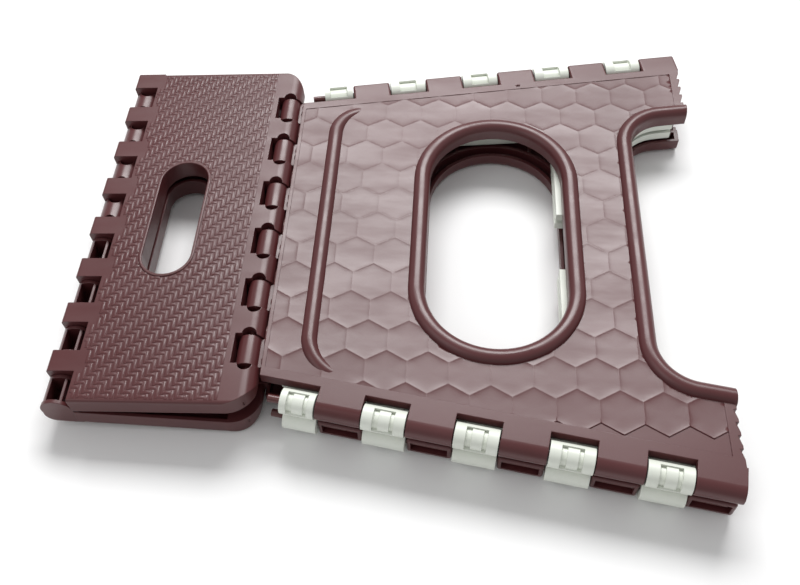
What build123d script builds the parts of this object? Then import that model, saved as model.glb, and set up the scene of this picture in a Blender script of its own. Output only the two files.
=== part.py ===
from build123d import *
import os
from math import cos, radians, sin, tan

# Plastic folding step stool, stored in its folded pose.  All sizes are millimetres.
#
# Two seat halves meet at a centre hinge, a leg panel hangs from each seat half, and each end is
# closed by two cream half-panels that fold inwards between the legs.  Every upper moulding is drawn
# in a work frame: x = 0 on the seat-to-leg hinge, +x towards the feet, y = 0 on the centre line and
# z = 0 half way between the two legs.  The lower half is the upper half turned half a turn about x.

# --- driving dimensions -------------------------------------------------------------------------
HALF_THICK = 21.0        # half of the folded thickness, to the top of the leg beads
SEAT_LENGTH = 293.0
SEAT_DEPTH = 117.0       # centre hinge to seat-to-leg hinge
SEAT_TILT = 3.0          # degrees each folded seat half leans towards the centre hinge
LEG_HINGE_Z = 11.0       # height of the seat-to-leg hinge above the middle plane
FOOT_X = 298.0           # seat-to-leg hinge to the foot end
SPLAY = 9.8              # degrees between a leg's side edge and x
TOP_HALF_WIDTH = 119.7   # leg half-width where the panel starts
SEAT_SHIFT = 4.8         # the seat sits this far to the rear of the legs' centre line

WALL = 2.4
FIT = 0.05               # radial running clearance of a pin in its bore
SIDE_GAP = 0.45          # clearance along a hinge between neighbouring knuckles

# --- leg panel ----------------------------------------------------------------------------------
PANEL_X = 10.0
FACE_Z = 17.0
FACE_THICK = 2.6
FIELD_DEPTH = 0.6        # the honeycomb field lies this far below the plain margins
FIELD_MARGIN = 6.5       # plain margin inside the notched edges
FIELD_START = 2.5        # plain margin at the seat end
FIELD_END = 7.0          # plain margin at the foot end
SKIRT_Z = 9.0            # inner edge of the leg's walls
BEAD_HALF = 5.75         # half-width of the round beads
BEAD_WALL = 2.4          # their shell, open underneath
BEAD_PAST_FOOT = 0.8     # the recess bead stands this far past the foot end
OVAL_X = 156.0
OVAL_RADIUS = 52.5       # to the middle of the bead
OVAL_STRAIGHT = 96.0     # length of the oval's straight sides
RECESS_X = 250.0         # middle of the bead across the foot recess
RECESS_RADIUS = 34.0
RECESS_CORNER_Y = 85.0   # where the recess bead starts to turn towards the foot
RIDGE_X = 37.5           # bracket-shaped ridge between the seat and the oval
RIDGE_R = 5.7
RIDGE_HEIGHT = 3.0
RIDGE_STRAIGHT = 90.0
RIDGE_BEND = 27.0        # radius of its curved ends
RIDGE_TURN = 70.0        # degrees they turn through
RIDGE_SINK = 0.20        # slope at which they sink into the face
FOOT_TEETH = 4
TOOTH_DEPTH = 2.0

# --- hinge between seat and leg -----------------------------------------------------------------
LEG_PIN_R = 2.6
LEG_BARREL_R = 7.5
LEG_BARREL_LENGTH = 21.0
LEG_BARREL_PITCH = 42.8
LEG_BARRELS = 6
BARREL_RELIEF = 1.3      # space round a leg barrel inside the seat

# --- hinge down each side of a leg --------------------------------------------------------------
EDGE_AXIS_OUT = 10.5     # hinge axis beyond the notched edge of the face
EDGE_AXIS_Z = 9.5
EDGE_PIN_R = 2.5
TAB_R = 7.5
TAB_LENGTH = 27.8
NOTCH_START = 20.7
NOTCH_PITCH = 55.6
NOTCHES = 5
BOX_TAB_OUT = 14.8       # outer wall of the box tabs beyond the notched edge
KNUCKLE_R = 8.0
KNUCKLE_GAP = 0.8        # each side of a cream knuckle in its notch
FIRST_KNUCKLE_CUT = 5.0  # the knuckle nearest the seat is shorter

# --- cream half-panels --------------------------------------------------------------------------
END_TOP_Z = 7.5
END_BOTTOM_Z = 1.5
END_SKIN = 2.4
MID_Y = 12.5             # fold line between the two half-panels of one end
MID_PIN_R = 1.8
FORK_R = 6.0
EYE_BORE_R = 5.9         # loose on purpose: the linkage closes here with free play
EYE_R = 7.4
ARM_CENTRES = (67.0, 225.0)
ARM_HALF = (21.0, 26.0)
EYE_LENGTH = 12.8
FORK_LENGTH = 7.0

# --- seat half ----------------------------------------------------------------------------------
TREAD_W = 13.5           # tread above the centre hinge axis
SKIN = 2.6
SKIRT_W = 0.4
CENTRE_PIN_R = 2.9
UPPER_REACH = 8.2        # centre-hinge tabs reach this far past the axis
LOWER_REACH = 9.6
CENTRE_TABS = 8
SEAT_START = 10.4        # edge of the tread between the tabs
UPPER_TAB = 15.2
LOWER_TAB = 20.6
END_DISC_R = 10.2        # round end of the lower half's last tab
SLOT_U = 51.0            # middle of the hand slot from the centre hinge
SLOT_SIZE = (100.0, 34.0)
SEAT_CORNER_R = 20.0
NOTCH_R = 4.6            # half-round recess that shows the hinge pin
EDGE_R = 2.0             # rounding of the tread's outer edge
LIP_WIDTH = 2.2          # raised lip round the hand slot
LIP_HEIGHT = 0.8
SEAT_RIB = 2.0           # depth of the ribs under the tread

HALF_LENGTH = SEAT_LENGTH / 2
BETA = radians(SPLAY)
TILT = radians(SEAT_TILT)
HINGE_U = SEAT_DEPTH * cos(TILT) + LEG_HINGE_Z * sin(TILT)
HINGE_W = LEG_HINGE_Z * cos(TILT) - SEAT_DEPTH * sin(TILT)
SEAT_KNUCKLE_R = TREAD_W - HINGE_W
LEG_BARREL_Y = [(i - (LEG_BARRELS - 1) / 2) * LEG_BARREL_PITCH for i in range(LEG_BARRELS)]


def half_width(x):
    """Half-width of the leg face at the notched edge."""
    return TOP_HALF_WIDTH + (x - PANEL_X) * tan(BETA)


# --- small helpers ------------------------------------------------------------------------------
def block(x0, x1, y0, y1, z0, z1):
    """Box between two corners."""
    return Pos(x0, y0, z0) * Box(x1 - x0, y1 - y0, z1 - z0, align=(Align.MIN,) * 3)


def rod_y(x, z, radius, y0, y1):
    """Cylinder along y."""
    return Pos(x, (y0 + y1) / 2, z) * Rot(90, 0, 0) * Cylinder(radius, y1 - y0)


def rod_x(y, z, radius, x0, x1):
    """Cylinder along x."""
    return Pos((x0 + x1) / 2, y, z) * Rot(0, 90, 0) * Cylinder(radius, x1 - x0)


def prism_y(outline, y0, y1):
    """Extrude an outline drawn in (x, z) from y0 to y1."""
    return Pos(0, y1, 0) * extrude(Plane.XZ * outline, amount=y1 - y0)


def prism_x(outline, x0, x1):
    """Extrude an outline drawn in (y, z) from x0 to x1."""
    return Pos(x0, 0, 0) * extrude(Plane.YZ * outline, amount=x1 - x0)


def slab(outline, z0, z1):
    """Extrude a plan outline from z0 to z1."""
    return Pos(0, 0, z0) * extrude(outline, amount=z1 - z0)


def polygon(*points):
    return make_face(Polyline(*points, close=True))


def flip_y(shape):
    return mirror(shape, about=Plane.XZ)


def edge_frame(x):
    """Frame on the notched +y edge: x along the edge, y outwards."""
    return Plane(origin=(x, half_width(x), 0), x_dir=(cos(BETA), sin(BETA), 0), z_dir=(0, 0, 1))


def along_edge(length):
    """Length measured down the sloping edge for a length measured along x."""
    return length / cos(BETA)


# --- seat half ----------------------------------------------------------------------------------
def tab_spans(length, first):
    """Spans in y of one half's centre-hinge tabs, starting at the +y end."""
    pitch = SEAT_LENGTH / CENTRE_TABS
    tops = [HALF_LENGTH - first - i * pitch for i in range(CENTRE_TABS)]
    return [(top - length, top) for top in tops]


def seat_profile():
    """Side view of the slab: flat tread, round nose over the leg hinge."""
    nose = Pos(HINGE_U, HINGE_W) * Circle(SEAT_KNUCKLE_R)
    body = polygon((SEAT_START, SKIRT_W), (HINGE_U, SKIRT_W), (HINGE_U, TREAD_W), (SEAT_START, TREAD_W))
    below = Pos(HINGE_U, SKIRT_W - 20) * Rectangle(40, 40)
    return body + (nose - below)


def centre_tab(span, reach, corner, hollow, through):
    """One centre-hinge tab: rounded by corner on the tread side, a barrel on the inner side."""
    y0, y1 = span
    outline = polygon((-reach, 0), (14, 0), (14, TREAD_W), (-reach, TREAD_W)) + Circle(reach)
    tab = prism_y(outline, y0, y1)
    tab = fillet(tab.edges().filter_by(Axis.Y).sort_by(Axis.Z)[-2:].sort_by(Axis.X)[0], corner)
    middle = (y0 + y1) / 2
    if hollow:
        window = (y1 - y0) / 2 - WALL
        tab -= block(-5.6, 3.0, middle - window, middle + window, -reach, TREAD_W - SKIN - corner / 4)
        if through:
            tab -= block(4.6, SEAT_START - 0.2, middle - window, middle + window, -reach, TREAD_W + 1)
        else:
            tab -= block(4.6, 7.0, middle - window, middle + window, -reach, 2.0)
    else:
        for end in (y0, y1):
            tab -= Pos(0, end, -reach / 2) * Cylinder(NOTCH_R, reach)
    return tab


def seat_half(tab_length, first_gap, reach, corner, through_tabs, stubs):
    """Seat half: drawn with the centre hinge at the origin and the tread level, then put in place."""
    body = prism_y(seat_profile(), -HALF_LENGTH, HALF_LENGTH)
    nose_u = HINGE_U + SEAT_KNUCKLE_R
    plan = polygon((SEAT_START, -HALF_LENGTH), (nose_u, -HALF_LENGTH), (nose_u, HALF_LENGTH),
                   (SEAT_START, HALF_LENGTH))
    plan = fillet(plan.vertices().group_by(Axis.X)[-1], SEAT_CORNER_R)
    body &= slab(plan, -1, TREAD_W + 1)
    rounded = polygon((-HALF_LENGTH, -1), (HALF_LENGTH, -1), (HALF_LENGTH, TREAD_W), (-HALF_LENGTH, TREAD_W))
    rounded = fillet(rounded.vertices().group_by(Axis.Y)[-1] + rounded.vertices().group_by(Axis.Y)[0], EDGE_R)
    body &= prism_x(rounded, 0, nose_u + 1)

    # hollow underside round the hand slot's wall, with shallow ribs
    knuckle_wall = HINGE_U - LEG_BARREL_R - BARREL_RELIEF - WALL
    inside = block(SEAT_START + WALL, knuckle_wall, -HALF_LENGTH + WALL, HALF_LENGTH - WALL, -1, TREAD_W - SKIN)
    slot = SlotOverall(SLOT_SIZE[0], SLOT_SIZE[1], rotation=90)
    slot_wall = SlotOverall(SLOT_SIZE[0] + 2 * WALL, SLOT_SIZE[1] + 2 * WALL, rotation=90)
    inside -= Pos(SLOT_U, 0) * slab(slot_wall, -2, TREAD_W)
    body -= inside
    lip_area = SlotOverall(SLOT_SIZE[0] + 2 * LIP_WIDTH, SLOT_SIZE[1] + 2 * LIP_WIDTH, rotation=90) - slot
    lip = slab(lip_area, TREAD_W - 1, TREAD_W + LIP_HEIGHT)
    body -= Pos(SLOT_U, 0) * slab(slot, -2, TREAD_W + 1)
    body += Pos(SLOT_U, 0) * fillet(lip.faces().sort_by(Axis.Z)[-1].edges(), LIP_HEIGHT * 0.8)
    for y in (-118, -90, -64, 64, 90, 118):
        body += block(SEAT_START + 1, knuckle_wall + 1, y - 1, y + 1, TREAD_W - SKIN - SEAT_RIB, TREAD_W - 1)

    # pockets for the leg barrels, with half-round recesses that show the pin
    for y in LEG_BARREL_Y:
        half = LEG_BARREL_LENGTH / 2 + SIDE_GAP
        body -= block(HINGE_U - LEG_BARREL_R - BARREL_RELIEF, nose_u + 1, y - half, y + half, -1, TREAD_W + 1)
        for end in (y - half, y + half):
            body -= Pos(HINGE_U, end, HINGE_W + NOTCH_R) * Cylinder(NOTCH_R, 2 * NOTCH_R)
    body -= rod_y(HINGE_U, HINGE_W, LEG_PIN_R + FIT, -HALF_LENGTH + 2 * WALL, HALF_LENGTH - 2 * WALL)

    spans = tab_spans(tab_length, first_gap)
    for i, span in enumerate(spans):
        body += centre_tab(span, reach, corner, hollow=i < CENTRE_TABS / 2, through=i < through_tabs)
    if stubs:
        ends = [span[1] for span in spans[1:]] + [-HALF_LENGTH + WALL]
        for span, end in zip(spans, ends):
            body += rod_y(0, 0, CENTRE_PIN_R, end - 1, span[0] + 1)
        last = spans[0][1]
        body += rod_y(0, 0, END_DISC_R, last - WALL, last)
    else:
        body -= rod_y(0, 0, CENTRE_PIN_R + FIT, -HALF_LENGTH + WALL - 2, HALF_LENGTH + 1)
    return Pos(-SEAT_DEPTH, 0, 0) * Rot(0, -SEAT_TILT, 0) * body


# --- leg panel ----------------------------------------------------------------------------------
def recess_path(offset):
    """Plan points of a line at an offset inside the recess bead: corner centre, radius, foot point."""
    radius = RECESS_RADIUS - offset
    centre = (RECESS_X + RECESS_RADIUS, RECESS_CORNER_Y)
    turn = (centre[0] - radius * sin(BETA), centre[1] + radius * cos(BETA))
    foot = (FOOT_X, turn[1] + (FOOT_X - turn[0]) * tan(BETA))
    return centre, radius, turn, foot


def recess_half_edge(offset, side):
    """One half of the recess line, from the centre line to the foot."""
    centre, radius, turn, foot = recess_path(offset)
    mid_angle = radians(90 + (90 + SPLAY) / 2)
    mid = (centre[0] + radius * cos(mid_angle), centre[1] + radius * sin(mid_angle))
    start = (centre[0] - radius, 0)
    corner = (centre[0] - radius, RECESS_CORNER_Y)
    flip = [(x, side * y) for x, y in (start, corner, mid, turn, foot)]
    return Line(flip[0], flip[1]) + ThreePointArc(flip[1], flip[2], flip[3]) + Line(flip[3], flip[4])


def recess_area(offset, extra):
    """Plan area of the foot recess out to an offset line, run on past the foot by extra."""
    foot = recess_path(offset)[3]
    lines = recess_half_edge(offset, 1) + recess_half_edge(offset, -1)
    close = Polyline((foot[0], foot[1]), (foot[0] + extra, foot[1]), (foot[0] + extra, -foot[1]),
                     (foot[0], -foot[1]))
    return make_face(lines + close)


def oval(offset):
    """Plan area of the oval out to an offset from the middle of its bead."""
    radius = OVAL_RADIUS + offset
    return Pos(OVAL_X, 0) * SlotOverall(OVAL_STRAIGHT + 2 * radius, 2 * radius, rotation=90)


def oval_bead():
    """Round-topped ring round the oval opening, with its wall below."""
    ring = slab(oval(BEAD_HALF) - oval(-BEAD_HALF), SKIRT_Z, HALF_THICK)
    ring = fillet(ring.faces().sort_by(Axis.Z)[-1].edges(), BEAD_HALF - 0.25)
    groove = BEAD_HALF - BEAD_WALL
    return ring - slab(oval(groove) - oval(-groove), SKIRT_Z - 1, HALF_THICK - BEAD_WALL - 1)


def recess_sweep(reach, low, past):
    """Round-topped section swept along the recess from its middle to past the foot end, on both sides."""
    centre, radius, turn, foot = recess_path(0)
    end = (foot[0] + 4, foot[1] + 4 * tan(BETA))
    mid_angle = radians(90 + (90 + SPLAY) / 2)
    mid = (centre[0] + radius * cos(mid_angle), centre[1] + radius * sin(mid_angle))
    start = (RECESS_X, 0)
    corner = (RECESS_X, RECESS_CORNER_Y)
    path = Wire(Line(start, corner).edges() + ThreePointArc(corner, mid, turn).edges() + Line(turn, end).edges())
    middle = HALF_THICK - BEAD_HALF
    section = Pos(0, middle) * Circle(reach)
    section += polygon((-reach, low), (reach, low), (reach, middle), (-reach, middle))
    across = Plane(origin=(RECESS_X, 0, 0), x_dir=(-1, 0, 0), z_dir=(0, 1, 0))
    half = sweep(across * section, path=path)
    half -= block(FOOT_X + past, FOOT_X + 20, 0, 200, 0, 30)
    return half + flip_y(half)


def bracket_ridge():
    """Bracket-shaped ridge across the leg; its ends curve towards the feet and sink into the face."""
    low = FACE_Z + RIDGE_HEIGHT - RIDGE_R
    ridge = rod_y(RIDGE_X, low, RIDGE_R, -RIDGE_STRAIGHT, RIDGE_STRAIGHT)
    start = (RIDGE_X, RIDGE_STRAIGHT, low)
    points = [start]
    for angle in (radians(RIDGE_TURN / 2), radians(RIDGE_TURN)):
        along = RIDGE_BEND * (1 - cos(angle))
        points.append((RIDGE_X + along, RIDGE_STRAIGHT + RIDGE_BEND * sin(angle), low - RIDGE_SINK * along))
    section = Plane(origin=start, z_dir=(0, 1, 0)) * Circle(RIDGE_R)
    end = sweep(section, path=ThreePointArc(*points))
    ridge += end + flip_y(end)
    return ridge & block(0, OVAL_X, -200, 200, FACE_Z - 1, HALF_THICK)


def side_tab(boxed):
    """One tab of the +y edge in the edge frame, from x = 0 to the tab's length."""
    length = along_edge(TAB_LENGTH)
    if boxed:
        shape = polygon((-1, EDGE_AXIS_Z), (EDGE_AXIS_OUT - 5.5, EDGE_AXIS_Z), (EDGE_AXIS_OUT - 5.5, 2.5),
                        (BOX_TAB_OUT, 2.5), (BOX_TAB_OUT, FACE_Z), (-1, FACE_Z))
        tab = prism_x(shape, 0, length)
        outer = tab.edges().filter_by(Axis.X).sort_by(Axis.Y)[-2:]
        tab = fillet(outer, 1.6)
        tab = fillet(tab.edges().filter_by(Axis.Z).sort_by(Axis.Y)[-2:], 1.6)
        return tab - block(2.6, length - 2.6, EDGE_AXIS_OUT - 2.8, BOX_TAB_OUT + 1, 5.0, FACE_Z - 2.8)
    shape = polygon((-1, EDGE_AXIS_Z), (EDGE_AXIS_OUT, EDGE_AXIS_Z), (EDGE_AXIS_OUT, FACE_Z), (-1, FACE_Z))
    shape += Pos(EDGE_AXIS_OUT, EDGE_AXIS_Z) * Circle(TAB_R)
    tab = prism_x(shape, 0, length)
    pocket = Pos(EDGE_AXIS_OUT, EDGE_AXIS_Z) * Circle(TAB_R - WALL)
    pocket += polygon((2, 0), (EDGE_AXIS_OUT, 0), (EDGE_AXIS_OUT, FACE_Z - WALL), (2, FACE_Z - WALL))
    return tab - prism_x(pocket, 2.6, length - 2.6)


def edge_bore(radius):
    """Straight hole or pin along the +y side hinge."""
    start = NOTCH_START - PANEL_X - 3
    return edge_frame(PANEL_X) * rod_x(EDGE_AXIS_OUT, EDGE_AXIS_Z, radius, start, along_edge(FOOT_X - PANEL_X) - 4)


def foot_teeth(side):
    """Grip teeth cut into one foot end."""
    y0 = recess_path(-BEAD_HALF)[3][1] + 3
    pitch = (half_width(FOOT_X) - 4 - y0) / FOOT_TEETH
    teeth = []
    for i in range(FOOT_TEETH):
        y = side * (y0 + i * pitch)
        tip = side * (y0 + (i + 0.75) * pitch)
        end = side * (y0 + (i + 1) * pitch)
        cut = polygon((FOOT_X + 1, y), (FOOT_X - TOOTH_DEPTH, y), (FOOT_X, tip), (FOOT_X, end), (FOOT_X + 1, end))
        teeth.append(slab(cut, SKIRT_Z - 1, FACE_Z + 1))
    return teeth


def honeycomb_field():
    """Plan of the sunk field that carries the moulded honeycomb."""
    x0 = PANEL_X + FIELD_START
    x1 = FOOT_X - FIELD_END
    y0 = half_width(x0) - FIELD_MARGIN / cos(BETA)
    y1 = half_width(x1) - FIELD_MARGIN / cos(BETA)
    return polygon((x0, -y0), (x1, -y1), (x1, y1), (x0, y0))


def leg_panel(shift):
    """Upper leg panel, its seat hinge off centre by shift: shell tabs on the -y edge, box tabs on +y."""
    w0 = half_width(PANEL_X)
    w1 = half_width(FOOT_X)
    outline = polygon((PANEL_X, -w0), (FOOT_X, -w1), (FOOT_X, w1), (PANEL_X, w0))
    outline -= oval(0)
    outline -= recess_area(0, 5)
    inner = polygon((PANEL_X + WALL, -w0 + WALL), (FOOT_X - WALL, -w1 + WALL), (FOOT_X - WALL, w1 - WALL),
                    (PANEL_X + WALL, w0 - WALL))
    inner -= oval(WALL)
    inner -= recess_area(-WALL, 5)

    leg = slab(outline, SKIRT_Z, FACE_Z) - slab(inner, SKIRT_Z - 1, FACE_Z - FACE_THICK)
    leg -= slab(honeycomb_field(), FACE_Z - FIELD_DEPTH, FACE_Z + 1)
    rib_bottom = SKIRT_Z + 1.0
    for x0, x1 in ((PANEL_X + 1, OVAL_X - OVAL_RADIUS - 1), (OVAL_X + OVAL_RADIUS + 1, RECESS_X - 1)):
        for y in (-45, -15, 15, 45):
            leg += block(x0, x1 - abs(y) * 0.1, y - 1, y + 1, rib_bottom, FACE_Z - 1)
    for x in (72, 128, 184, 236):
        reach = half_width(x) - 1
        near = OVAL_STRAIGHT / 2 + OVAL_RADIUS * 0.8 if abs(x - OVAL_X) < OVAL_RADIUS else 60
        for side in (1, -1):
            y0, y1 = sorted((side * near, side * reach))
            rib = block(x - 1, x + 1, y0, y1, rib_bottom, FACE_Z - 1)
            leg += rib - slab(oval(0), 0, FACE_Z) - slab(recess_area(0, 5), 0, FACE_Z)

    # beads round the oval and the foot recess, and the bracket ridge
    leg -= slab(oval(BEAD_HALF - 1) - oval(1 - BEAD_HALF), SKIRT_Z - 1, HALF_THICK)
    leg += oval_bead()
    leg += recess_sweep(BEAD_HALF, SKIRT_Z, BEAD_PAST_FOOT)
    leg -= recess_sweep(BEAD_HALF - BEAD_WALL, SKIRT_Z - 1, -BEAD_WALL)
    leg += bracket_ridge()

    # barrels of the seat hinge
    for y in LEG_BARREL_Y:
        y0 = y + shift - LEG_BARREL_LENGTH / 2
        y1 = y + shift + LEG_BARREL_LENGTH / 2
        leg += rod_y(0, LEG_HINGE_Z, LEG_BARREL_R, y0, y1)
        leg += block(0, PANEL_X + 1, y0, y1, LEG_HINGE_Z - 5.5, LEG_HINGE_Z + 2.5)
    for side in (1, -1):
        for tooth in foot_teeth(side):
            leg -= tooth

    # tabs of the side hinges
    for i in range(NOTCHES):
        frame = edge_frame(NOTCH_START + i * NOTCH_PITCH + (NOTCH_PITCH - TAB_LENGTH))
        leg += frame * side_tab(boxed=True)
        leg += flip_y(frame * side_tab(boxed=False))
    bore = edge_bore(EDGE_PIN_R + FIT)
    leg -= bore
    leg -= flip_y(bore)
    leg -= rod_y(0, LEG_HINGE_Z, LEG_PIN_R + FIT, -HALF_LENGTH, HALF_LENGTH)
    return leg


def leg_pin(shift):
    """Straight pin of the hinge between a seat half and its leg."""
    reach = HALF_LENGTH - 2 * WALL - 0.5
    return rod_y(0, LEG_HINGE_Z, LEG_PIN_R, shift - reach, shift + reach)


# --- cream end half-panel -----------------------------------------------------------------------
def end_outline(inset):
    """Plan outline of a half-panel: a spine down the leg's side with two arms to the fold line."""
    arm_a, arm_b = ARM_CENTRES
    half_a, half_b = ARM_HALF
    tip = MID_Y + EYE_R + 4.0
    spine_out = 3.0 / cos(BETA)
    x_top = 22.0
    x_foot = FOOT_X - 7.0
    top_corner = (x_top, half_width(x_top) - spine_out)
    foot_corner = (x_foot, half_width(x_foot) - spine_out)
    cut_y = OVAL_STRAIGHT / 2 + OVAL_RADIUS + BEAD_HALF + 4
    centre, radius, turn, foot = recess_path(3.0)
    mid_angle = radians(90 + (90 + SPLAY) / 2)
    mid = (centre[0] + radius * cos(mid_angle), centre[1] + radius * sin(mid_angle))
    foot_in = (x_foot, foot[1] - (FOOT_X - x_foot) * tan(BETA))
    lines = Polyline((centre[0] - radius, RECESS_CORNER_Y), (centre[0] - radius, tip), (arm_b - half_b, tip),
                     (arm_b - half_b, cut_y), (arm_a + half_a, cut_y - 12), (arm_a + half_a, tip),
                     (arm_a - half_a, tip), top_corner, foot_corner, foot_in, turn)
    arc = ThreePointArc(turn, mid, (centre[0] - radius, RECESS_CORNER_Y))
    area = make_face(lines + arc)
    return offset(area, amount=-inset, kind=Kind.INTERSECTION) if inset else area


def end_knuckle(windowed, cut):
    """Corner-hinge knuckle in the edge frame, from x = 0 to its length, shortened by cut."""
    length = along_edge(NOTCH_PITCH - TAB_LENGTH) - 2 * KNUCKLE_GAP - cut
    shape = Pos(EDGE_AXIS_OUT, EDGE_AXIS_Z) * Circle(KNUCKLE_R)
    web = polygon((-4.0, END_BOTTOM_Z), (EDGE_AXIS_OUT, END_BOTTOM_Z), (EDGE_AXIS_OUT, END_TOP_Z),
                  (-4.0, END_TOP_Z))
    knuckle = prism_x(shape + web, 0, length)
    x0 = length / 2 - 6.5
    x1 = length / 2 + 6.5
    floor_r = EDGE_PIN_R + 3.4
    low, high = (-3.5, KNUCKLE_R + 1) if windowed else (-5.5, 6.0)
    window = block(x0, x1, EDGE_AXIS_OUT + low, EDGE_AXIS_OUT + high, EDGE_AXIS_Z - 1, EDGE_AXIS_Z + KNUCKLE_R + 1)
    window -= rod_x(EDGE_AXIS_OUT, EDGE_AXIS_Z, floor_r, 0, length)
    knuckle -= window
    if windowed:
        knuckle += rod_x(EDGE_AXIS_OUT, EDGE_AXIS_Z, KNUCKLE_R - 0.9, x0 + 3.5, x1 - 2.5)
    return knuckle


def end_half(forked):
    """Upper half-panel of the +y end, with forks or with eyes on its fold line."""
    outline = end_outline(0)
    body = slab(outline, END_BOTTOM_Z, END_TOP_Z)
    body -= slab(end_outline(WALL), END_BOTTOM_Z - 1, END_TOP_Z - END_SKIN)
    for i in range(NOTCHES):
        cut = FIRST_KNUCKLE_CUT if i == 0 else 0
        frame = edge_frame(NOTCH_START + i * NOTCH_PITCH + cut)
        body += frame * Pos(KNUCKLE_GAP, 0, 0) * end_knuckle(not forked, along_edge(cut))
    # stay clear of the leg's tabs while turning
    relief = rod_x(EDGE_AXIS_OUT, EDGE_AXIS_Z, TAB_R + 2.2, 0, along_edge(TAB_LENGTH))
    for i in range(NOTCHES):
        body -= edge_frame(NOTCH_START + (i + 1) * NOTCH_PITCH - TAB_LENGTH) * relief
    body -= edge_bore(EDGE_PIN_R + FIT)

    tip = MID_Y + EYE_R + 5.0
    for centre in ARM_CENTRES:
        if forked:
            inner = EYE_LENGTH / 2 + SIDE_GAP
            for x0 in (centre + inner, centre - inner - FORK_LENGTH):
                body += rod_x(MID_Y, 0, FORK_R, x0, x0 + FORK_LENGTH)
                body += block(x0, x0 + FORK_LENGTH, MID_Y, tip, END_BOTTOM_Z, FORK_R)
            body -= rod_x(MID_Y, 0, MID_PIN_R + FIT, centre - 20, centre + 20)
        else:
            x0 = centre - EYE_LENGTH / 2
            body += rod_x(MID_Y, 0, EYE_R, x0, x0 + EYE_LENGTH)
            body += block(x0, x0 + EYE_LENGTH, MID_Y, tip, END_BOTTOM_Z, EYE_R)
            body -= rod_x(MID_Y, 0, EYE_BORE_R, centre - 20, centre + 20)
    return body


def mid_pin(centre):
    """Pin through one fork and its loose eye."""
    reach = EYE_LENGTH / 2 + SIDE_GAP + FORK_LENGTH
    return rod_x(MID_Y, 0, MID_PIN_R, centre - reach, centre + reach)


# --- whole stool --------------------------------------------------------------------------------
def turned(shape):
    """Lower counterpart of an upper part: half a turn about the middle line."""
    return Rot(180, 0, 0) * shape


def build():
    fork_end = end_half(forked=True)
    eye_end = end_half(forked=False)
    corner_pin = edge_bore(EDGE_PIN_R)
    seat_upper = seat_half(UPPER_TAB, 0, UPPER_REACH, corner=2.0, through_tabs=0, stubs=False)
    seat_lower = seat_half(LOWER_TAB, SIDE_GAP, LOWER_REACH, corner=7.5, through_tabs=2, stubs=True)
    nodes = {
        "seat_half_upper": Pos(0, SEAT_SHIFT, 0) * seat_upper,
        "seat_half_lower": Pos(0, SEAT_SHIFT, 0) * turned(seat_lower),
        "leg_panel_upper": leg_panel(SEAT_SHIFT),
        "leg_panel_lower": turned(leg_panel(-SEAT_SHIFT)),
        "end_panel_upper_rear": fork_end,
        "end_panel_upper_front": flip_y(eye_end),
        "end_panel_lower_front": turned(fork_end),
        "end_panel_lower_rear": turned(flip_y(eye_end)),
        "leg_hinge_pin_upper": leg_pin(SEAT_SHIFT),
        "leg_hinge_pin_lower": turned(leg_pin(-SEAT_SHIFT)),
        "corner_pin_upper_rear": corner_pin,
        "corner_pin_upper_front": flip_y(corner_pin),
        "corner_pin_lower_front": turned(corner_pin),
        "corner_pin_lower_rear": turned(flip_y(corner_pin)),
    }
    for name, centre in zip(("seat", "foot"), ARM_CENTRES):
        nodes[f"fold_pin_rear_{name}_side"] = mid_pin(centre)
        nodes[f"fold_pin_front_{name}_side"] = turned(mid_pin(centre))
    return nodes


def main():
    os.makedirs("parts", exist_ok=True)
    left = -SEAT_DEPTH - END_DISC_R
    middle = (left + FOOT_X + BEAD_PAST_FOOT) / 2
    place = Pos(-middle, 0, HALF_THICK)
    for name, shape in build().items():
        shape = place * shape
        export_step(shape, f"parts/{name}.step")
        print(f"{name}: {len(shape.solids())} solid, {shape.volume / 1000:.1f} cm3")


main()
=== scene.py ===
import math

import bpy
from mathutils import Euler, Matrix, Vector


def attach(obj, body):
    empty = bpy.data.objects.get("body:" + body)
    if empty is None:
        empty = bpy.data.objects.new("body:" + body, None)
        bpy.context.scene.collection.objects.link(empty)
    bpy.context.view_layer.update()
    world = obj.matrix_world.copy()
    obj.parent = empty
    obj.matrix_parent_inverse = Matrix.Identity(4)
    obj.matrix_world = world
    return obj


# Folding step stool, stored flat.  The CAD mouldings and pins are shown as packed; this script adds
# the moulded surface relief (honeycomb on the legs, woven pattern on the seat), materials, light and
# camera.  Lengths are written in millimetres in the stool's work frame and turned into metres in the
# row frame by place(): x = 0 on the seat-to-leg hinge, z = 0 half way between the two legs.

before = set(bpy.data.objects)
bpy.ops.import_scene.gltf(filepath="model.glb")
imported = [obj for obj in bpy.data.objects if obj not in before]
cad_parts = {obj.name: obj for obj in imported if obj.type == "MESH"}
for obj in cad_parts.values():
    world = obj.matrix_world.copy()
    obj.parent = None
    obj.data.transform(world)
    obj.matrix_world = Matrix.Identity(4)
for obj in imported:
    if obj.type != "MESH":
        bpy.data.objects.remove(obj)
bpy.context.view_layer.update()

# --- dimensions shared with the CAD source, mm --------------------------------------------------
HALF_THICK = 21.0              # half of the folded thickness
ROW_SHIFT_X = 85.8             # work-frame x of the row frame's origin
FACE_Z = 17.0                  # plain margins of the leg face
FIELD_DEPTH = 0.6              # the honeycomb field lies this far below them
PANEL_X = 10.0                 # seat end of the leg face
FOOT_X = 298.0
SPLAY = math.radians(9.8)      # between a leg's side edge and x
TOP_HALF_WIDTH = 119.7         # leg half-width at the seat end
OVAL_X = 156.0
OVAL_RADIUS = 52.5             # to the middle of the bead
OVAL_STRAIGHT = 96.0
RECESS_X = 250.0               # middle of the bead across the foot recess
RECESS_RADIUS = 34.0
RECESS_CORNER_Y = 85.0
SEAT_LENGTH = 293.0
SEAT_DEPTH = 117.0             # centre hinge to seat-to-leg hinge
SEAT_TILT = math.radians(3.0)
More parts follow.
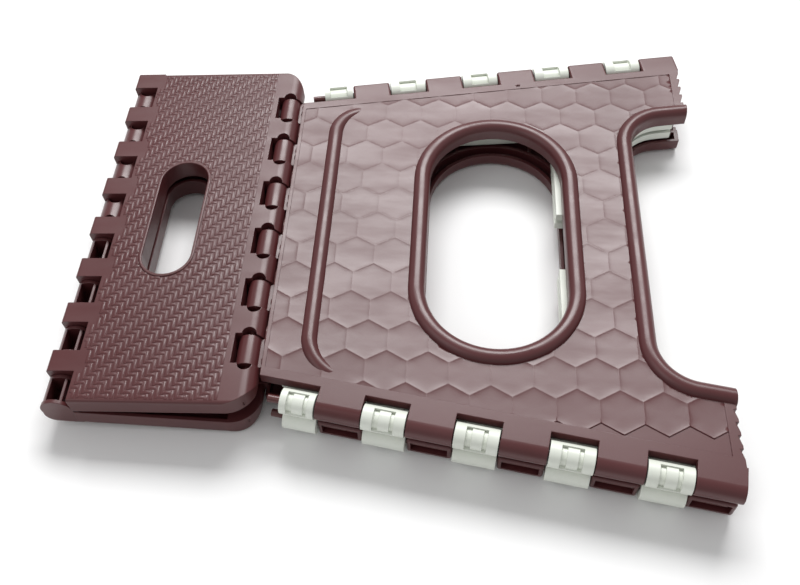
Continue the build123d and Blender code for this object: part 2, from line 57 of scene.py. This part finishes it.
SEAT_SHIFT = 4.8               # the seat sits this far to the rear
TREAD_W = 13.5                 # tread above the centre hinge axis
SLOT_U = 51.0                  # middle of the hand slot from the centre hinge
SLOT_SIZE = (100.0, 34.0)
CENTRE_TABS = 8
UPPER_TAB = 15.2               # lengths of the centre hinge's tabs
LOWER_TAB = 20.6


def place(x, y, z):
    """Work-frame millimetres to row-frame metres."""
    return Vector((x - ROW_SHIFT_X, y, z + HALF_THICK)) / 1000


def turned(point):
    """The same point on the lower half: half a turn about the middle line."""
    x, y, z = point
    return (x, -y, -z)


def half_width(x):
    """Half-width of the leg face at the notched edge."""
    return TOP_HALF_WIDTH + (x - PANEL_X) * math.tan(SPLAY)


def make_mesh(name, points, faces, body, soft_angle):
    """Brown mesh piece from row-frame points, riding on a body and smooth below an edge angle."""
    mesh = bpy.data.meshes.new(name)
    mesh.from_pydata(points, [], faces)
    mesh.validate()
    mesh.materials.append(BROWN)
    piece = bpy.data.objects.new(name, mesh)
    bpy.context.scene.collection.objects.link(piece)
    mesh.polygons.foreach_set("use_smooth", [True] * len(mesh.polygons))
    mesh.set_sharp_from_angle(angle=math.radians(soft_angle))
    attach(piece, body)
    return piece


# --- materials ----------------------------------------------------------------------------------
class Nodes:
    """Short helpers to build one node material."""

    def __init__(self, name):
        self.material = bpy.data.materials.new(name)
        self.material.use_nodes = True
        self.tree = self.material.node_tree
        self.shader = self.tree.nodes["Principled BSDF"]
        self.coords = self.add("ShaderNodeTexCoord").outputs["Object"]

    def add(self, kind, **sockets):
        node = self.tree.nodes.new(kind)
        for name, value in sockets.items():
            self.feed(node.inputs[name.replace("_", " ")], value)
        return node

    def feed(self, socket, value):
        if isinstance(value, bpy.types.NodeSocket):
            self.tree.links.new(value, socket)
        else:
            socket.default_value = value

    def noise(self, scale, detail=3.0, roughness=0.55):
        return self.add("ShaderNodeTexNoise", Vector=self.coords, Scale=scale, Detail=detail,
                        Roughness=roughness).outputs["Fac"]

    def span(self, value, low, high, new_low, new_high):
        """Map the range low to high onto new_low to new_high, clamped."""
        node = self.add("ShaderNodeMapRange", Value=value, From_Min=low, From_Max=high, To_Min=new_low,
                        To_Max=new_high)
        return node.outputs["Result"]

    def mix(self, factor, a, b):
        """Blend from colour a to colour b."""
        node = self.tree.nodes.new("ShaderNodeMix")
        node.data_type = "RGBA"
        self.feed(node.inputs["Factor"], factor)
        self.feed(node.inputs["A"], a)
        self.feed(node.inputs["B"], b)
        return node.outputs["Result"]

    def bump(self, height, strength, distance, normal):
        node = self.add("ShaderNodeBump", Height=height, Strength=strength, Distance=distance, Normal=normal)
        return node.outputs["Normal"]


EDGE_ROUNDING = 0.0006     # radius of the softened edges, m
GRAIN_DEPTH = 0.00008      # depth of the mould grain, m


def moulded_plastic(name, base, dust, rough, grain):
    """Satin moulded plastic: fine mould grain, faint flow marks, scuffs and rounded edges."""
    n = Nodes(name)
    clouds = n.span(n.noise(9.0, 4.0), 0.35, 0.7, 0.0, 1.0)
    speckle = n.span(n.noise(900.0, 2.0), 0.45, 0.75, 0.0, 0.35)
    colour = n.mix(clouds, base, dust)
    colour = n.mix(speckle, colour, dust)
    n.feed(n.shader.inputs["Base Color"], colour)

    stretch = n.add("ShaderNodeMapping", Vector=n.coords)
    stretch.inputs["Scale"].default_value = (0.25, 1.0, 1.0)
    streaks = n.add("ShaderNodeTexNoise", Vector=stretch.outputs["Vector"], Scale=60.0, Detail=4.0,
                    Roughness=0.6)
    wear = n.span(streaks.outputs["Fac"], 0.35, 0.7, rough - 0.05, rough + 0.07)
    n.feed(n.shader.inputs["Roughness"], wear)

    edges = n.tree.nodes.new("ShaderNodeBevel")
    edges.samples = 6
    edges.inputs["Radius"].default_value = EDGE_ROUNDING
    pebble = n.noise(1500.0, 2.0)
    n.feed(n.shader.inputs["Normal"], n.bump(pebble, grain, GRAIN_DEPTH, edges.outputs["Normal"]))
    n.shader.inputs["IOR"].default_value = 1.5
    return n.material


BROWN = moulded_plastic("brown_moulded", (0.080, 0.018, 0.019, 1), (0.100, 0.028, 0.030, 1), 0.33, 0.20)
PIN_BROWN = moulded_plastic("brown_pin", (0.085, 0.022, 0.021, 1), (0.105, 0.032, 0.032, 1), 0.30, 0.15)
CREAM = moulded_plastic("cream_moulded", (0.80, 0.83, 0.76, 1), (0.72, 0.75, 0.67, 1), 0.40, 0.2)

for name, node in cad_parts.items():
    look = BROWN
    if name.startswith("end_panel"):
        look = CREAM
    elif "pin" in name:
        look = PIN_BROWN
    node.data.materials.clear()
    node.data.materials.append(look)


# --- honeycomb relief on the leg faces ----------------------------------------------------------
CELL_FLAT = 26.0                       # across the flats
CELL_RADIUS = CELL_FLAT / math.sqrt(3)
CELL_ROW = CELL_RADIUS * 1.5
CELL_X0 = 61.1                         # a cell's centre line on even rows
CELL_Y0 = 36.9 - CELL_RADIUS
RELIEF = 0.34                          # depth of a dished cell
BORDER_TOP = 0.04                      # the borders end this far below the plain margins
CUSP = 1.3                             # how quickly a border falls into its cell
CUSP_SHARE = 0.55                      # share of the depth that lies in that fall
RING_DISTANCES = (0.0, 0.35, 0.9, 1.8, 3.2, 5.2, 8.0, 11.0)    # rings of points inside a cell border
SIDE_STEPS = 5                         # points along each side of a cell
ROWS = range(-7, 8)                    # enough cells to cover the leg, the middle row being 0
COLUMNS = range(-4, 12)
SEAT_COVER = 0.6                       # the sheet runs on, hidden, to these distances from the edges
SIDE_COVER = 3.0
FOOT_COVER = 4.5
BEAD_COVER = 2.0                       # and to this distance from the middle of a bead
SHEET_THICK = 0.0012                   # m


def from_recess(x, y):
    """Distance outside the middle line of the recess bead."""
    out_x = x - RECESS_X - RECESS_RADIUS
    out_y = abs(y) - RECESS_CORNER_Y
    if out_y <= 0:
        return RECESS_X - x
    if out_x * math.cos(SPLAY) + out_y * math.sin(SPLAY) > 0:
        return out_y * math.cos(SPLAY) - out_x * math.sin(SPLAY) - RECESS_RADIUS
    return math.hypot(out_x, out_y) - RECESS_RADIUS


def from_oval(x, y):
    """Distance outside the middle line of the oval's bead."""
    past = max(0.0, abs(y) - OVAL_STRAIGHT / 2)
    return math.hypot(x - OVAL_X, past) - OVAL_RADIUS


def dish(border):
    """Height of the sheet above the sunk field, at a distance from the nearest cell border."""
    t = border / (CELL_FLAT / 2)
    fall = CUSP_SHARE * (1 - math.exp(-border / CUSP)) + (1 - CUSP_SHARE) * (1 - (1 - t) ** 2)
    return FIELD_DEPTH - BORDER_TOP - RELIEF * fall


def cell_ring(cx, cy, distance):
    """Points of one hexagon ring, at a distance inside the cell border, as (x, y, distance)."""
    share = 1 - distance / (CELL_FLAT / 2)
    ring = []
    for k in range(6):
        a0 = math.radians(30 + 60 * k)
        a1 = math.radians(90 + 60 * k)
        for step in range(SIDE_STEPS):
            t = step / SIDE_STEPS
            px = cx + CELL_RADIUS * share * ((1 - t) * math.cos(a0) + t * math.cos(a1))
            py = cy + CELL_RADIUS * share * ((1 - t) * math.sin(a0) + t * math.sin(a1))
            ring.append((px, py, distance))
    return ring


def cell_faces(cx, cy):
    """Quads between the rings of one cell and triangles round its middle, as lists of points."""
    rings = [cell_ring(cx, cy, distance) for distance in RING_DISTANCES]
    count = len(rings[0])
    cell = []
    for outer, inner in zip(rings, rings[1:]):
        for k in range(count):
            cell.append([outer[k], outer[(k + 1) % count], inner[(k + 1) % count], inner[k]])
    hub = (cx, cy, CELL_FLAT / 2)
    for k in range(count):
        cell.append([rings[-1][k], rings[-1][(k + 1) % count], hub])
    return cell


def carries_sheet(x, y):
    """True where the leg's face, its margins or the foot of a bead can hold the sheet."""
    inside = x > PANEL_X - 2.0 and x < FOOT_X - FOOT_COVER and abs(y) < half_width(x)
    return inside and from_oval(x, y) > BEAD_COVER and from_recess(x, y) > BEAD_COVER


def honeycomb(name, body, flip):
    """Sheet of dished hexagons in one leg's sunk field; it runs on inside the margins and beads."""
    points, faces, index = [], [], {}

    def corner(x, y, border):
        key = (round(x, 2), round(y, 2))
        if key not in index:
            index[key] = len(points)
            reach = half_width(x) - SIDE_COVER
            height = FACE_Z - FIELD_DEPTH + dish(border)
            points.append((max(x, PANEL_X + SEAT_COVER), min(max(y, -reach), reach), height))
        return index[key]

    for row in ROWS:
        for column in COLUMNS:
            cx = CELL_X0 + (column + (0.5 if row % 2 else 0.0)) * CELL_FLAT
            cy = CELL_Y0 - row * CELL_ROW
            for face in cell_faces(cx, cy):
                if all(carries_sheet(x, y) for x, y, border in face):
                    faces.append([corner(*point) for point in face])
    if flip:
        points = [turned(p) for p in points]
    piece = make_mesh(name, [place(*p) for p in points], faces, body, 75)
    shell = piece.modifiers.new("closed_below", "SOLIDIFY")
    shell.thickness = SHEET_THICK
    shell.offset = -1.0


honeycomb("honeycomb_upper", "leg_upper", False)
honeycomb("honeycomb_lower", "leg_lower", True)


# --- woven relief on the treads -----------------------------------------------------------------
WEAVE = 3.1                # pitch of the weave
REPEAT = 4                 # pitches after which a column of bars starts again
FIRST_COLUMN_U = 1.5
BAR_WIDTH = 2.15
CROSS_LENGTH = 4.9         # short bars across the seat
LONG_LENGTH = 9.4          # long bars along the seat
BAR_HEIGHT = 0.27
BAR_ROUND = 0.5            # how far a bar's top lies inside its foot
BAR_PROFILE = ((0.0, -0.3), (0.0, 0.08), (BAR_ROUND * 0.45, BAR_HEIGHT * 0.75), (BAR_ROUND, BAR_HEIGHT))
WEAVE_START_U = 11.3
WEAVE_END_U = 105.0
SIDE_MARGIN = 1.6          # plain strips along the seat's ends
TAB_ROOT = 5.5             # plain root of a hinge tab beyond the start of the weave
ROOT_SLOPE = 1.2           # how quickly that root narrows beside the tab
LIP_WIDTH = 2.2            # plain lip round the hand slot
LIP_GAP = 0.3
CLIP_STEPS = 24            # places along a bar that are tested against the plain areas
SHORTEST = 4               # a bar with fewer of them on the weave is left out
LOWER_FIRST_GAP = 0.45     # where the lower half's first tab starts, from the seat's end


def bar(points, faces, u0, u1, y0, y1):
    """One raised bar with sloping sides, sunk a little into the tread."""
    start = len(points)
    for inset, height in BAR_PROFILE:
        low_u, high_u = u0 + inset, u1 - inset
        low_y, high_y = y0 + inset, y1 - inset
        for u, y in ((low_u, low_y), (high_u, low_y), (high_u, high_y), (low_u, high_y)):
            points.append((u, y, TREAD_W + height))
    for ring in range(len(BAR_PROFILE) - 1):
        a = start + ring * 4
        for k in range(4):
            faces.append([a + k, a + (k + 1) % 4, a + 4 + (k + 1) % 4, a + 4 + k])
    top = start + 4 * (len(BAR_PROFILE) - 1)
    faces.append([top, top + 1, top + 2, top + 3])
    faces.append([start + 3, start + 2, start + 1, start])


def weave_covers(u, y, tab_tops, tab_length):
    """True where the tread carries the woven pattern: not on the plain roots of the hinge tabs."""
    if abs(y) > SEAT_LENGTH / 2 - SIDE_MARGIN or u > WEAVE_END_U:
        return False
    off_tab = min(max(y - top, top - tab_length - y) for top in tab_tops)
    root_end = WEAVE_START_U + TAB_ROOT - max(0.0, off_tab + 1.0) * ROOT_SLOPE
    if u < max(root_end, WEAVE_START_U):
        return False
    past = max(0.0, abs(y) - (SLOT_SIZE[0] - SLOT_SIZE[1]) / 2)
    return math.hypot(u - SLOT_U, past) > SLOT_SIZE[1] / 2 + LIP_WIDTH + LIP_GAP


def clipped(fixed, low, high, along_y, covers):
    """Part of a bar's length that lies on the woven area, as (low, high) or None."""
    inside = []
    for i in range(CLIP_STEPS + 1):
        t = low + (high - low) * i / CLIP_STEPS
        u, y = (fixed, t) if along_y else (t, fixed)
        if covers(u, y):
            inside.append(t)
    if len(inside) < SHORTEST:
        return None
    return inside[0], inside[-1]


def weave(name, body, tab_length, first_gap, flip):
    """Woven bars over one tread: short ones across it and long ones between them along it."""
    pitch = SEAT_LENGTH / CENTRE_TABS
    tab_tops = [SEAT_LENGTH / 2 - first_gap - i * pitch for i in range(CENTRE_TABS)]
    points, faces = [], []

    def covers(u, y):
        return weave_covers(u, y, tab_tops, tab_length)

    columns = int(WEAVE_END_U / WEAVE) + 2
    rows = int(SEAT_LENGTH / 2 / WEAVE) + 4
    for i in range(columns):
        u = i * WEAVE + FIRST_COLUMN_U
        for j in range(-rows, rows):
            if (i - j) % REPEAT:
                continue
            y = j * WEAVE
            span = clipped(y, u - CROSS_LENGTH / 2, u + CROSS_LENGTH / 2, False, covers)
            if span:
                bar(points, faces, span[0], span[1], y - BAR_WIDTH / 2, y + BAR_WIDTH / 2)
            middle = y + WEAVE * REPEAT / 2
            span = clipped(u, middle - LONG_LENGTH / 2, middle + LONG_LENGTH / 2, True, covers)
            if span:
                bar(points, faces, u - BAR_WIDTH / 2, u + BAR_WIDTH / 2, span[0], span[1])
    tilted = []
    for u, y, w in points:
        x = u * math.cos(SEAT_TILT) - w * math.sin(SEAT_TILT) - SEAT_DEPTH
        z = u * math.sin(SEAT_TILT) + w * math.cos(SEAT_TILT)
        px, py, pz = turned((x, y, z)) if flip else (x, y, z)
        tilted.append((px, py + SEAT_SHIFT, pz))
    make_mesh(name, [place(*p) for p in tilted], faces, body, 50)


weave("tread_weave_upper", "seat_upper", UPPER_TAB, 0.0, False)
weave("tread_weave_lower", "seat_lower", LOWER_TAB, LOWER_FIRST_GAP, True)


# --- floor, light and camera --------------------------------------------------------------------
FLOOR_REACH = 6.0          # m
FLOOR_TONES = ((0.93, 0.93, 0.93, 1), (0.95, 0.95, 0.95, 1))


def floor():
    """Plain pale sheet that the stool lies on."""
    r = FLOOR_REACH
    mesh = bpy.data.meshes.new("floor")
    mesh.from_pydata([(-r, -r, 0), (r, -r, 0), (r, r, 0), (-r, r, 0)], [], [(0, 1, 2, 3)])
    n = Nodes("pale_floor")
    n.feed(n.shader.inputs["Base Color"], n.mix(n.noise(3.0), *FLOOR_TONES))
    n.shader.inputs["Roughness"].default_value = 0.9
    mesh.materials.append(n.material)
    sheet = bpy.data.objects.new("floor", mesh)
    bpy.context.scene.collection.objects.link(sheet)


def area_light(name, position, size, power):
    """Soft rectangular lamp aimed at the middle of the stool."""
    data = bpy.data.lights.new(name, "AREA")
    data.shape = "RECTANGLE"
    data.size, data.size_y = size
    data.energy = power
    lamp = bpy.data.objects.new(name, data)
    bpy.context.scene.collection.objects.link(lamp)
    lamp.location = position
    lamp.rotation_euler = (-Vector(position)).to_track_quat("-Z", "Y").to_euler()


floor()
world = bpy.data.worlds.new("studio")
bpy.context.scene.world = world
world.use_nodes = True
background = world.node_tree.nodes["Background"]
background.inputs["Color"].default_value = (1, 1, 1, 1)
background.inputs["Strength"].default_value = 0.45
area_light("window", (0.1, 1.7, 2.1), (2.0, 1.0), 75)
area_light("fill", (-1.2, -0.6, 1.4), (1.2, 1.2), 4)

camera_data = bpy.data.cameras.new("camera")
camera = bpy.data.objects.new("camera", camera_data)
bpy.context.scene.collection.objects.link(camera)
bpy.context.scene.camera = camera
camera_data.sensor_width = 36.0
camera_data.lens = 41.6
camera_data.clip_start = 0.05
camera.location = (0.03468, -0.40105, 0.53098)
camera.rotation_euler = Euler([math.radians(a) for a in (35.201, 1.007, 3.093)], "XYZ")
bpy.context.scene.view_settings.view_transform = "Standard"
